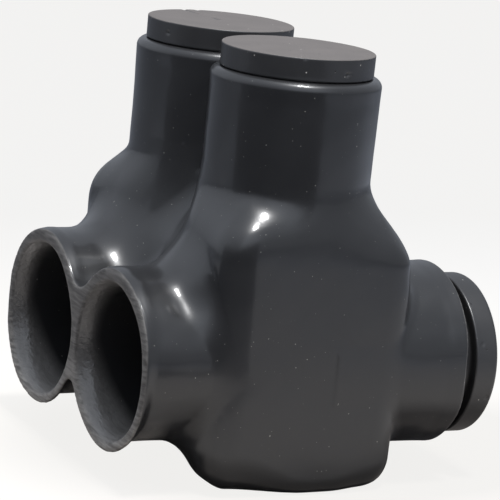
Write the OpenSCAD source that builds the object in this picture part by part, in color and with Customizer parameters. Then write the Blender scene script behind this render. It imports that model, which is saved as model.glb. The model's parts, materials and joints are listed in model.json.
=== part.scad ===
// Insulated splice connector for two wires that pass side by side.
// A metal block clamps the wires with two set screws. One dip-moulded cover
// encloses it, with a sleeve round each wire entry and a tower over each screw.
// Origin at the centre of the base, X along the wires, Z up the towers.

/* [Block] */
// Distance between the two wire bores
pitch = 28.2; // [28:0.1:33]
// Diameter of a wire bore in the block
wire_bore_d = 19; // [17:0.5:20]
// Diameter of a set screw
screw_d = 17.5; // [14:0.5:19]
// Length of the block along the wires
block_l = 27.6; // [27:0.2:34]
// Wall of the block beside the wire bores
side_wall = 3.5; // [3:0.1:6]
// Wall of the block under the wire bores
floor_wall = 4.8; // [4:0.1:8]
// Wall of the block over the wire bores, which carries the set screws
screw_wall = 9.7; // [8:0.1:14]
// Bevel along the upright edges of the block and the lower edges of its ends
block_bevel = 2; // [1.6:0.1:2.4]
// Bevel along the upper edges of the ends of the block
block_top_bevel = 4; // [3.6:0.1:4.4]

/* [Set screw] */
// Length of a set screw
screw_l = 17; // [12:0.5:18]
// Bevel at both ends of a set screw
screw_bevel = 1; // [0.5:0.1:2]
// Height of a set screw over the wire bore, when it is backed out
screw_lift = 0.5; // [0.2:0.1:1]
// Width across the flats of the hexagon socket
socket_af = 7.9; // [5:0.1:9]
// Depth of the hexagon socket
socket_depth = 8; // [4:0.5:9]
// Gap between a set screw and its hole, all round
screw_gap = 0.06; // [0.02:0.01:0.1]

/* [Cover] */
// Thickness of the cover over the sides of the block
skin = 2.4; // [2:0.1:3.5]
// Thickness of the cover under the block
base_skin = 5; // [4.6:0.1:7]
// Thickness of the cover over the open end of the block
open_skin = 3.1; // [3:0.1:4.5]
// Thickness of the cover over the plugged end of the block
plugged_skin = 4.6; // [3:0.1:6]
// Radius of the upright corners of the body
corner_round = 6; // [4:0.1:7]
// Radius of the edges of the base
base_round = 3.5; // [3:0.1:6]
// Radius of the edge of the base under the open sleeves
open_base_round = 9; // [4:0.1:11]
// Depth of the upright hollow down the middle of the open end
end_hollow = 2.6; // [1:0.1:2.7]
// Width of that hollow
end_hollow_w = 26; // [20:0.5:28]
// Height over which the body narrows to the towers
shoulder_h = 11; // [9:0.5:16]
// Radius of the valley between the two towers
tower_web = 5; // [3:0.5:8]

/* [Sleeves] */
// Length of a sleeve past the body, at the open end
sleeve_l = 12; // [9:0.1:16]
// Length of a sleeve past the body, at the plugged end
plugged_sleeve_l = 11.2; // [9:0.1:16]
// Inner diameter of a sleeve
sleeve_d = 23.2; // [21.5:0.1:23.6]
// Wall of an open sleeve at its mouth
mouth_wall = 3.1; // [2.4:0.1:3.4]
// Wall of an open sleeve behind its mouth
open_wall = 2.5; // [2.2:0.1:3.2]
// Wall of a plugged sleeve at its mouth
plugged_mouth_wall = 3.6; // [2.4:0.1:4]
// Wall of a plugged sleeve where it leaves the body
plugged_wall = 3.7; // [2.4:0.1:4]
// Height of the outside of an open sleeve's mouth over the axis of its bore
mouth_rise = 0.4; // [0:0.1:0.8]
// Height of the outside of a sleeve over the axis of its bore, behind the mouth
sleeve_rise = 1.2; // [0:0.1:1.4]
// Widening of the bore at the mouth, on the radius
mouth_flare = 1.5; // [0.3:0.1:1.7]
// Depth of that widening
mouth_depth = 2.5; // [1.5:0.5:6]
// Rounding of the outer edge of a mouth
mouth_round = 0.6; // [0.3:0.1:1]
// Radius of the webs between two sleeves
web_round = 4.7; // [3:0.1:8]
// Radius of the blend from a sleeve into the end of the body
sleeve_blend = 2.5; // [2:0.1:3.6]

/* [Towers] */
// Inner diameter of a tower
tower_d = 22; // [20:0.1:22.4]
// Wall of a tower at its waist
tower_wall = 2.7; // [2:0.1:2.8]
// Extra wall of a tower at its top
tower_swell = 0.2; // [0:0.05:0.3]
// Height of a tower above its waist
tower_h = 17.2; // [14:0.1:26]
// Radius of the lip round the top of a tower
lip_round = 1.6; // [1:0.1:1.8]

/* [Access cap] */
// Diameter of the disc of a cap
cap_d = 25; // [24.2:0.1:27]
// Thickness of the disc of a cap
cap_t = 3.9; // [2:0.1:6]
// Length of the part of a cap that enters the tower
cap_plug_l = 9; // [6:0.5:10]

/* [Port plug] */
// Diameter of the flange of a port plug
flange_d = 27.1; // [26:0.1:28]
// Thickness of the flange of a port plug
flange_t = 4.4; // [3:0.1:6]
// Rounding of the edges of the flange
flange_round = 0.8; // [0.3:0.1:1.2]
// Distance at which the flange stands off the mouth of the sleeve
flange_gap = 2.3; // [1:0.1:4]
// Length of the part of a port plug that enters the sleeve
plug_l = 9; // [6:0.5:10]
// Bevel at the inner end of a cap or a port plug
push_bevel = 1; // [0.5:0.1:1.5]
// Gap between a cap or a port plug and its bore, all round
push_gap = 0.06; // [0.02:0.01:0.1]

/* [Hidden] */
front = -1;
rear = 1;

// Places that follow from the block
half_pitch = pitch / 2;
block_w = pitch + wire_bore_d + 2 * side_wall;
block_z = base_skin;
port_z = block_z + floor_wall + wire_bore_d / 2;
block_top = port_z + wire_bore_d / 2 + screw_wall;

// Outline of the cover's body and of its towers
open_x = block_l / 2 + open_skin;
plugged_x = block_l / 2 + plugged_skin;
body_y = block_w / 2 + skin;
shoulder_z = block_top;
waist_z = shoulder_z + shoulder_h;
tower_top = waist_z + tower_h;
tower_r = tower_d / 2 + tower_wall;

// Margins that keep one surface from lying in another
overlap = 0.5;
margin = 0.1;

cover_color = [0.20, 0.21, 0.22];
cap_color = [0.34, 0.32, 0.31];
metal_color = [0.74, 0.75, 0.76];
screw_color = [0.55, 0.56, 0.57];
$fn = 96;

// Reach of a ray from the centre of a rounded rectangle of half lengths hu and
// hv and corner radius r, at the angle a from its first axis
function box_reach(hu, hv, r, a) =
  let (p = abs(cos(a)), q = abs(sin(a)), cu = hu - r, cv = hv - r, along = cu * p + cv * q,
       to_u = hu / max(p, 0.0001), to_v = hv / max(q, 0.0001))
  to_u * q > cv && to_v * p > cu
    ? along + sqrt(max(along * along - cu * cu - cv * cv + r * r, 0))
    : min(to_u, to_v);

// Half width, at the distance v from the middle, of two circles of radius r
// that stand half a pitch to each side and are joined by webs of radius w
function pair_reach(r, w, v) =
  let (web_centre = sqrt((r + w) * (r + w) - half_pitch * half_pitch),
       touch = half_pitch * w / (r + w), off = half_pitch - abs(v))
  abs(v) < touch ? web_centre - sqrt(w * w - v * v) : sqrt(r * r - off * off);

// A ring of rays, each as [place on the spine, angle]. The spine joins the two
// bores or towers. Rays leave its sides square to it, and fan out at its ends
// at the given angles of one quarter and their mirror images.
spine_steps = 10;
spine_places = [for (i = [1:spine_steps - 1]) (2 * i / spine_steps - 1) * half_pitch];
function ring(quarter) =
  let (last = len(quarter) - 1,
       half = concat(quarter, [for (i = [last - 1:-1:0]) 180 - quarter[i]]))
  concat([for (v = spine_places) [v, 0]], [for (a = half) [half_pitch, a]],
         [for (v = spine_places) [-v, 180]], [for (a = half) [-half_pitch, a + 180]]);
function is_side(ray) = abs(ray[0]) < half_pitch - margin;

// The point that a ray reaches, across the spine and along it
function tip(ray, reach) = [reach * cos(ray[1]), ray[0] + reach * sin(ray[1])];

// The number, on the spine, of the place that ray i of n starts from
function place_of(i, n) =
  let (half = n / 2, k = i % half, place = k < spine_steps - 1 ? k + 1 : spine_steps)
  i < half ? place : spine_steps - place;

// The faces between a ring of n points, numbered from first, and its spine,
// whose points are numbered from base
function cap_faces(first, base, n) =
  [for (i = [0:n - 1]) let (j = (i + 1) % n, s = base + place_of(i, n), t = base + place_of(j, n))
    each concat([[first + i, first + j, s]], s == t ? [] : [[first + j, t, s]])];

// A solid through closed sections that have the same number of points. Each
// section is [points, middle of its spine], and the spine runs along Y.
module loft(sections) {
  n = len(sections[0][0]);
  last = len(sections) - 1;
  places = spine_steps + 1;
  function spine(section) =
    [for (k = [0:spine_steps]) section[1] + [0, (2 * k / spine_steps - 1) * half_pitch, 0]];
  walls = [for (k = [0:last - 1], i = [0:n - 1]) let (j = (i + 1) % n)
    each [[k * n + i, (k + 1) * n + i, (k + 1) * n + j], [k * n + i, (k + 1) * n + j, k * n + j]]];
  base = (last + 1) * n;
  foot = cap_faces(0, base, n);
  head = [for (f = cap_faces(last * n, base + places, n)) [f[2], f[1], f[0]]];
  polyhedron(concat([for (s = sections) each s[0]], spine(sections[0]), spine(sections[last])),
             concat(walls, foot, head));
}

// Rays of the body, close together at its upright corners
corner_steps = 6;
corner_u = (open_x + plugged_x) / 2 - corner_round;
corner_v = body_y - half_pitch - corner_round;
corner_start = atan2(corner_v, corner_u + corner_round);
corner_end = atan2(corner_v + corner_round, corner_u);
body_rays = ring(concat(
  [for (i = [0:3]) corner_start * i / 4],
  [for (i = [0:corner_steps]) let (t = 90 * i / corner_steps)
    atan2(corner_v + corner_round * sin(t), corner_u + corner_round * cos(t))],
  [for (i = [1:5]) corner_end + (90 - corner_end) * i / 5]));

// How far a rounded edge of radius r has drawn in at the height z over its foot
function inset(r, z) = z < r ? r - sqrt(r * r - (r - z) * (r - z)) : 0;

// How deep the hollow of the open end is at the distance y from the middle
function hollow(y) = end_hollow * pow(cos(90 * min(abs(y) * 2 / end_hollow_w, 1)), 2);

// A section of the body at the height z, as points, and one of the two towers
function body_section(z) =
  let (low = inset(open_base_round, z) - open_x, high = plugged_x - inset(base_round, z),
       in = inset(base_round, z), mid = (low + high) / 2, half = (high - low) / 2)
  [for (ray = body_rays)
    let (reach = box_reach(half, body_y - half_pitch - in, max(corner_round - in, 0), ray[1]),
         p = tip(ray, reach) + [mid, 0])
    [p.x + (p.x < 0 ? hollow(p.y) : 0), p.y]];
function tower_section(r, sink) =
  [for (ray = body_rays)
    tip(ray, is_side(ray)
      ? max(pair_reach(r, tower_web, ray[0]) - sink * (1 - pow(ray[0] / half_pitch, 2)), overlap)
      : r)];
function raised(points, z) = [[for (p = points) [p.x, p.y, z]], [0, 0, z]];

// Shoulders, each as its start and its height in shares of shoulder_h: a shelf
// at the outer corners of the open end, an even ramp in the middle of that end,
// where a valley runs down between the towers, and an S-curve at the plugged end
shelf_span = [-0.16, 0.9];
ramp_span = [-0.36, 1.03];
curve_span = [-0.05, 1.1];
shelf_power = 2.6;
turn_x = 10;
ramp_half_w = 7;
ramp_fade = 8;
function s_curve(t) = let (c = min(max(t, 0), 1)) c * c * (3 - 2 * c);
function part_of(t, span) = min(max((t - span[0]) / span[1], 0), 1);

// How far the body has narrowed from its point p towards the towers, from 0 to
// 1, at the share t of the height of the shoulders
function narrowing(p, t) =
  let (middle = 1 - s_curve((abs(p.y) - ramp_half_w) / ramp_fade),
       open = middle * part_of(t, ramp_span) + (1 - middle) * pow(part_of(t, shelf_span), shelf_power),
       over = s_curve((p.x + turn_x) / (2 * turn_x)))
  t < 1 ? (1 - over) * open + over * s_curve(part_of(t, curve_span)) : 1;

// The body: a rounded bottom edge, upright walls, and shoulders that narrow to
// the waist of the towers. Its section there stands a little outside the
// towers, and its last one inside them, so the surfaces cross.
base_steps = 8;
shoulder_steps = 15;
waist_proud = 0.2;
tuck = 2;
tuck_inset = 0.4;
module body() {
  foot = body_section(shoulder_z);
  waist = tower_section(tower_r + waist_proud, 0);
  big_round = max(base_round, open_base_round);
  loft(concat(
    [for (i = [0:base_steps]) let (z = big_round * (1 - cos(90 * i / base_steps)))
      raised(body_section(z), z)],
    [for (i = [0:shoulder_steps])
      let (t = ramp_span[0] + (1 - ramp_span[0]) * i / shoulder_steps)
      raised([for (k = [0:len(foot) - 1]) let (s = narrowing(foot[k], t)) (1 - s) * foot[k] + s * waist[k]],
             shoulder_z + t * shoulder_h)],
    [raised(tower_section(tower_r - tuck_inset, 4), waist_z + tuck)]));
}

// Two sleeves, from their mouths into the body. The outside of a sleeve has the
// radius mouth_r at the mouth and root_r behind it, and its axis stands over
// the bore's by mouth_up and root_up. d is the distance from the body's end.
sleeve_rays = ring([for (i = [0:10]) 9 * i]);
blend_steps = 6;
mouth_steps = 3;
dive = 0.8;
module sleeve_pair(end_x, l, mouth_r, root_r, mouth_up, root_up) {
  bead = min(2.5, l / 3);
  function root_share(d) = let (t = min(max((l - d) / bead, 0), 1)) t * t * (3 - 2 * t);
  function reach(ray, d) =
    let (share = root_share(d), r = mouth_r + (root_r - mouth_r) * share,
         crotch = is_side(ray) ? 1 - abs(ray[0]) / half_pitch : 0,
         size = sleeve_blend * (1 + crotch),
         near = max(1 - max(d, 0) / size, 0))
    (is_side(ray) ? pair_reach(r, web_round, ray[0]) : r)
      + size * pow(cos(ray[1]), 2) * (1 - sqrt(1 - near * near));
  function slice(d, in) =
    let (up = mouth_up + (root_up - mouth_up) * root_share(d))
    [[for (ray = sleeve_rays) let (p = tip(ray, reach(ray, d) - in)) [end_x + d, p.y, port_z + up + p.x]],
     [end_x + d, 0, port_z + up]];
  loft(concat(
    [for (i = [0:mouth_steps]) let (t = 90 * i / mouth_steps)
      slice(l - mouth_round * (1 - cos(t)), mouth_round * (1 - sin(t)))],
    [for (i = [2:4]) slice(l - bead * i / 4, 0)],
    [for (i = [blend_steps:-1:0]) slice(2 * sleeve_blend * i / blend_steps, 0)],
    [slice(-corner_round, dive)]));
}
module open_sleeves() {
  mirror([1, 0, 0])
    sleeve_pair(open_x, sleeve_l, sleeve_d / 2 + mouth_wall, sleeve_d / 2 + open_wall,
                mouth_rise, sleeve_rise);
}
module plugged_sleeves() {
  sleeve_pair(plugged_x, plugged_sleeve_l, sleeve_d / 2 + plugged_mouth_wall,
              sleeve_d / 2 + plugged_wall, mouth_rise, mouth_rise);
}

// One tower, with a rounded lip
lip_steps = 6;
module tower() {
  top_r = tower_r + tower_swell;
  rotate_extrude()
    polygon(concat([[0, shoulder_z], [tower_r, shoulder_z], [tower_r, waist_z]],
      [for (i = [0:lip_steps]) let (t = 90 * i / lip_steps)
        [top_r - lip_round * (1 - cos(t)), tower_top - lip_round * (1 - sin(t))]],
      [[0, tower_top]]));
}

// The hollow of one sleeve towards +X, from the block to its mouth
module sleeve_bore(mouth_x) {
  translate([block_l / 2 - overlap, 0, port_z]) rotate([0, 90, 0])
    cylinder(d = sleeve_d, h = mouth_x - block_l / 2 + 2 * overlap);
  translate([mouth_x - mouth_depth, 0, port_z]) rotate([0, 90, 0])
    cylinder(r1 = sleeve_d / 2, r2 = sleeve_d / 2 + mouth_flare * (1 + overlap / mouth_depth),
             h = mouth_depth + overlap);
}

// The outside of the block, with bevels on its upright edges and along the
// lower and upper edges of its ends
module block_body() {
  u = block_l / 2;
  v = block_w / 2;
  b = block_bevel;
  top = block_top_bevel;
  intersection() {
    translate([0, 0, block_z]) linear_extrude(block_top - block_z)
      polygon([[-u, b - v], [b - u, -v], [u - b, -v], [u, b - v],
               [u, v - b], [u - b, v], [b - u, v], [-u, v - b]]);
    rotate([90, 0, 0]) linear_extrude(2 * v + 2 * overlap, center = true)
      polygon([[b - u, block_z], [u - b, block_z], [u, block_z + b], [u, block_top - top],
               [u - top - overlap, block_top + overlap], [top + overlap - u, block_top + overlap],
               [-u, block_top - top], [-u, block_z + b]]);
  }
}

// The dip-moulded cover, in one piece
module housing() {
  color(cover_color) difference() {
    union() {
      body();
      open_sleeves();
      plugged_sleeves();
      for (side = [front, rear]) translate([0, side * half_pitch, 0]) tower();
    }
    block_body();
    for (side = [front, rear]) translate([0, side * half_pitch, 0]) {
      translate([0, 0, block_top - overlap]) cylinder(d = tower_d, h = tower_top - block_top + 2 * overlap);
      sleeve_bore(plugged_x + plugged_sleeve_l);
      mirror([1, 0, 0]) sleeve_bore(open_x + sleeve_l);
    }
  }
}

// The metal block, with a wire bore right through and a screw hole for each wire
module connector_block() {
  color(metal_color) difference() {
    block_body();
    for (side = [front, rear]) translate([0, side * half_pitch, 0]) {
      translate([-block_l / 2 - overlap, 0, port_z]) rotate([0, 90, 0])
        cylinder(d = wire_bore_d, h = block_l + 2 * overlap);
      translate([0, 0, port_z]) cylinder(d = screw_d, h = block_top - port_z + overlap);
    }
  }
}

// A set screw, backed out to clear the wire bore
module set_screw(side) {
  r = screw_d / 2 - screw_gap;
  color(screw_color) translate([0, side * half_pitch, port_z + wire_bore_d / 2 + screw_lift])
    difference() {
      rotate_extrude()
        polygon([[0, 0], [r - screw_bevel, 0], [r, screw_bevel], [r, screw_l - screw_bevel],
                 [r - screw_bevel, screw_l], [0, screw_l]]);
      translate([0, 0, screw_l - socket_depth])
        cylinder(d = socket_af / cos(30), h = socket_depth + overlap, $fn = 6);
    }
}

// A cap, with its disc on the lip of a tower
module access_cap(side) {
  r = tower_d / 2 - push_gap;
  color(cap_color) translate([0, side * half_pitch, tower_top])
    rotate_extrude()
      polygon([[0, -cap_plug_l], [r - push_bevel, -cap_plug_l], [r, push_bevel - cap_plug_l],
               [r, 0], [cap_d / 2, 0], [cap_d / 2, cap_t], [0, cap_t]]);
}

// A port plug, pushed into the sleeve at the plugged end
round_steps = 4;
module port_plug(side) {
  r = sleeve_d / 2 - push_gap;
  edge = flange_d / 2 - flange_round;
  color(cap_color) translate([plugged_x + plugged_sleeve_l, side * half_pitch, port_z]) rotate([0, 90, 0])
    rotate_extrude()
      polygon(concat([[0, -plug_l], [r - push_bevel, -plug_l], [r, push_bevel - plug_l], [r, flange_gap]],
        [for (i = [0:round_steps]) let (t = 90 * i / round_steps)
          [edge + flange_round * sin(t), flange_gap + flange_round * (1 - cos(t))]],
        [for (i = [0:round_steps]) let (t = 90 * i / round_steps)
          [edge + flange_round * cos(t), flange_gap + flange_t - flange_round * (1 - sin(t))]],
        [[0, flange_gap + flange_t]]));
}

housing();
connector_block();
set_screw(front);  // set_screw_front
set_screw(rear);  // set_screw_rear
access_cap(front);  // access_cap_front
access_cap(rear);  // access_cap_rear
port_plug(front);  // port_plug_front
port_plug(rear);  // port_plug_rear
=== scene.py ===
# %% [markdown]
# # Insulated splice connector
#
# A splice connector joins two heavy cables. Inside is a block of tin-plated
# aluminium with two wire bores. Each wire is held by a set screw, which is
# reached down a tower. The whole block is dipped in hot liquid PVC, which sets
# as one thick glossy skin with a sleeve round every wire entry. Caps close the
# towers and plugs close the entries that aren't used.
#
# The sizes, the metal parts and everything that moves come from a CAD model,
# which is loaded first and is never changed. This lesson adds the looks: the
# dipped skin as one smooth surface, the turned and moulded small parts, the
# finishes, the light and the camera. All lengths below are in millimetres and
# are turned to metres where a mesh is made.

import json
import math

import bpy
import numpy as np
from mathutils import Matrix, Vector

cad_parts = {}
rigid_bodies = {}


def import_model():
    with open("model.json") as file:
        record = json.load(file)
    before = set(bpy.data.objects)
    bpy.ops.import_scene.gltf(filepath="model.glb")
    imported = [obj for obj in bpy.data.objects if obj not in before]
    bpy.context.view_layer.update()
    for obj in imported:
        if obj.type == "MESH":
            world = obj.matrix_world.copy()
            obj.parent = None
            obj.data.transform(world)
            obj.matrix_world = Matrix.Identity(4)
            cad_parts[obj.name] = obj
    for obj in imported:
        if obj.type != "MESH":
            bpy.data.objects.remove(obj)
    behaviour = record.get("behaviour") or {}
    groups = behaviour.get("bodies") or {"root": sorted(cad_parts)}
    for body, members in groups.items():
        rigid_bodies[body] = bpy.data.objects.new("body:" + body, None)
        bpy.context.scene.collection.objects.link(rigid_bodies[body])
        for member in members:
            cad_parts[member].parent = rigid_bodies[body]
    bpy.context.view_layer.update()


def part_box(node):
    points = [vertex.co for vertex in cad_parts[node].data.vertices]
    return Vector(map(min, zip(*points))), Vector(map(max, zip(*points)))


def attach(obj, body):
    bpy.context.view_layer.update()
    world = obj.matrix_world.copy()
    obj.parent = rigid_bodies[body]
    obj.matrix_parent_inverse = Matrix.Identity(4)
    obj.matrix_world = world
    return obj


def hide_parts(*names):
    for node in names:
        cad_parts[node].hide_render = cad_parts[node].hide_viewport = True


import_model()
MM = 0.001

# %% [markdown]
# ## Sizes that the pieces share
#
# X runs along the wires, from the open sleeves to the plugged ones, and Z runs
# up the towers. These few sizes repeat those of the CAD model, and two printed
# lines show the boxes of the housing and the block in the frame that was loaded.

# %% Shared sizes
HALF_PITCH = 14.1
PORT_Z = 19.3
BLOCK_L, BLOCK_W, BLOCK_Z, BLOCK_TOP = 27.6, 54.2, 5.0, 38.5
BLOCK_TOP_BEVEL = 4.0
SLEEVE_R, TOWER_BORE_R = 11.6, 11.0
MOUTH_X, PLUGGED_MOUTH_X = 28.9, 29.6
BODY_Y, WAIST_Z, TOWER_TOP = 29.5, 49.5, 66.7
SIDES = {"front": -1, "rear": 1}

for node in ("housing", "connector_block"):
    low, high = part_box(node)
    print(node, "from", [round(c / MM, 1) for c in low], "to", [round(c / MM, 1) for c in high])

# %% [markdown]
# ## Turning arrays into pieces
#
# Every shape here is first worked out as an array of points, and only then
# handed to Blender. One helper makes the mesh, shades it smooth, gives it its
# material and hangs it on the CAD body that it moves with.

# %% A helper that makes one piece
def make_piece(name, points, faces, body, stands_for, material, normals=None):
    """Make one smooth piece from points in millimetres, on a body of the frame."""
    mesh = bpy.data.meshes.new(name)
    mesh.from_pydata((np.asarray(points) * MM).tolist(), [], [list(face) for face in faces])
    mesh.shade_smooth()
    if normals is not None:
        mesh.normals_split_custom_set_from_vertices(normals.tolist())
    mesh.materials.append(material)
    piece = bpy.data.objects.new(name, mesh)
    bpy.context.scene.collection.objects.link(piece)
    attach(piece, body)
    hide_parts(stands_for)
    print(f"{name}: {len(mesh.vertices)} points, {len(mesh.polygons)} faces")
    return piece


def mark(piece, name, values):
    """Store a number on each point, for the material to read."""
    layer = piece.data.attributes.new(name, "FLOAT", "POINT")
    layer.data.foreach_set("value", np.asarray(values, dtype=np.float32))


# %% [markdown]
# ## Colours and nodes
#
# Colours are picked from a screen, so they are written as sRGB hex values. The
# shader works in linear light, and one function converts them. Another adds a
# node with its settings and links, so a material reads as a short list.

# %% Helpers for materials
def linear(hex_colour):
    """The linear colour of an sRGB hex value such as "808080"."""
    channels = [int(hex_colour[i:i + 2], 16) / 255 for i in (0, 2, 4)]
    return [c / 12.92 if c <= 0.04045 else ((c + 0.055) / 1.055) ** 2.4 for c in channels] + [1.0]


def add(tree, kind, inputs=None, **settings):
    """Add a shader node. An input is a plain value or another node's output."""
    node = tree.nodes.new("ShaderNode" + kind)
    for key, value in settings.items():
        setattr(node, key, value)
    for socket, value in (inputs or {}).items():
        if isinstance(value, bpy.types.NodeSocket):
            tree.links.new(value, node.inputs[socket])
        else:
            node.inputs[socket].default_value = value
    return node


def start_material(name):
    """A new material with only its output node, and the place on the piece in millimetres."""
    material = bpy.data.materials.new(name)
    material.use_nodes = True
    tree = material.node_tree
    tree.nodes.clear()
    output = add(tree, "OutputMaterial")
    place = add(tree, "TexCoord").outputs["Object"]
    place_mm = add(tree, "VectorMath", {0: place, "Scale": 1 / MM}, operation="SCALE").outputs[0]
    return material, tree, output, place_mm


print("808080 in linear light:", [round(c, 3) for c in linear("808080")[:3]])

# %% [markdown]
# ## The skin: PVC plastisol
#
# The hot block is dipped in liquid PVC, lifted out and cured in an oven, so
# nothing but air touches the surface while it sets. It is glossy, dark charcoal
# and very slightly wavy where the liquid ran. To the eye that is a soft sheen
# with a thin wet gloss over it, so the shader has a low specular level and a
# light coat. Handling leaves faint scuffs and grains of pale dust. Only the
# mouths of the sleeves are cut, with a knife, and there the surface is paler,
# dull and ribbed by the blade. Low down inside the mouths the cut is painted
# paler still, and over a deeper band: painted sunlight on the lower wall.
#
# All this could be painted on an image and wrapped round the mesh. Patterns that
# are worked out from the place in space are chosen instead: they have no seams,
# keep their real size on every form and stay sharp in a close view. Two numbers
# stored on the mesh tell where the knife has been: depth, the distance behind
# the mouth, and off_axis, the distance from the bore's axis, in millimetres.
#
# The scale of each pattern is one over its size in millimetres. A real grain of
# dust is about 0.1 mm wide and a scratch 0.03 mm, which is too fine to show
# here, so both are drawn three to four times as coarse.

# %% Spots and cuts on the skin
STROKE_GAP, CLOD_SIZE = 0.7, 1.6


def specks(tree, place, cell, size, share):
    """Rare small spots: 1 inside a spot and 0 elsewhere. All sizes are in millimetres."""
    cells = add(tree, "TexVoronoi", {"Vector": place, "Scale": 1 / cell, "Randomness": 1.0})
    chance = add(tree, "SeparateColor", {"Color": cells.outputs["Color"]}).outputs["Red"]
    rare = add(tree, "Math", {0: chance, 1: share}, operation="LESS_THAN").outputs[0]
    near = add(tree, "MapRange", {"Value": cells.outputs["Distance"], "From Min": size / cell,
                                  "From Max": 0.6 * size / cell}).outputs[0]
    return add(tree, "Math", {0: near, 1: rare}, operation="MULTIPLY").outputs[0]


def where_cut_and_sunlit(tree, height):
    """The flat face of each mouth, and then all that the knife has cut, both from 0 to 1. Low down
    the second reaches deeper into the bore: painted sunlight on its lower wall.
    """
    depth = add(tree, "Attribute", attribute_name="depth").outputs["Fac"]
    off_axis = add(tree, "Attribute", attribute_name="off_axis").outputs["Fac"]
    face = add(tree, "MapRange", {"Value": depth, "From Min": 0.5, "From Max": 0.25}).outputs[0]
    # Painted sunlight: from 20 mm down, the pale cut reaches up to 4 mm deeper into the bore.
    sunlit_reach = add(tree, "MapRange", {"Value": height, "From Min": 20.0, "From Max": 9.0,
                                     "To Max": 4.0}).outputs[0]
    shallow = add(tree, "Math", {0: depth, 1: sunlit_reach}, operation="SUBTRACT").outputs[0]
    ream = add(tree, "MapRange", {"Value": shallow, "From Min": 4.0, "From Max": 1.2}).outputs[0]
    inside = add(tree, "MapRange", {"Value": off_axis, "From Min": 13.4,
                                    "From Max": 13.0}).outputs[0]
    reamed_and_sunlit = add(tree, "Math", {0: ream, 1: inside}, operation="MULTIPLY").outputs[0]
    return face, add(tree, "Math", {0: face, 1: reamed_and_sunlit}, operation="MAXIMUM").outputs[0]


def knife_marks(tree, place):
    """Strokes of the blade, with a few clods of torn plastic between them."""
    along_knife = add(tree, "Mapping", {"Vector": place, "Rotation": (0.9, 0, 0),
                                        "Scale": (1, 0.14, 1.1)}).outputs[0]
    strokes = add(tree, "TexNoise", {"Vector": along_knife, "Scale": 1 / STROKE_GAP,
                                     "Detail": 3.0, "Distortion": 0.4}).outputs["Fac"]
    clods = add(tree, "TexNoise", {"Vector": place, "Scale": 1 / CLOD_SIZE,
                                   "Detail": 4.0}).outputs["Fac"]
    return add(tree, "Mix", {"Factor": 0.2, "A": strokes, "B": clods}, data_type="FLOAT").outputs[0]


def cut_colour_and_sunlight(tree, height, face, knife):
    """The colour of cut PVC: paler where the blade pressed, and painted paler low down as sunlight
    on the lower inside of the mouth.
    """
    stroke = add(tree, "MapRange", {"Value": knife, "From Min": 0.38, "From Max": 0.62}).outputs[0]
    calm = add(tree, "MapRange", {"Value": knife, "From Min": 0.3, "From Max": 0.7, "To Min": 0.3,
                                  "To Max": 0.6}).outputs[0]
    pale = add(tree, "Mix", {"Factor": face, "A": calm, "B": stroke}, data_type="FLOAT").outputs[0]
    high_tone = add(tree, "Mix", {"Factor": pale, "A": linear("353332"), "B": linear("565452")},
                    data_type="RGBA").outputs["Result"]
    painted_sunlit_cut_tone = add(tree, "Mix", {"Factor": pale, "A": linear("4c4a48"), "B": linear("767471")},
                   data_type="RGBA").outputs["Result"]
    # Painted sunlight: below 18 mm the cut turns to the paler lower tone.
    low = add(tree, "MapRange", {"Value": height, "From Min": 18.0, "From Max": 8.0}).outputs[0]
    return add(tree, "Mix", {"Factor": low, "A": high_tone, "B": painted_sunlit_cut_tone},
               data_type="RGBA").outputs["Result"]


print("knife strokes", STROKE_GAP, "mm apart, and clods", CLOD_SIZE, "mm wide")

# %% Material of the skin
PVC_IOR = 1.53
PEEL_SIZE, HAZE_SIZE, DUST_SIZE = 0.5, 9.0, 0.42


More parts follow.
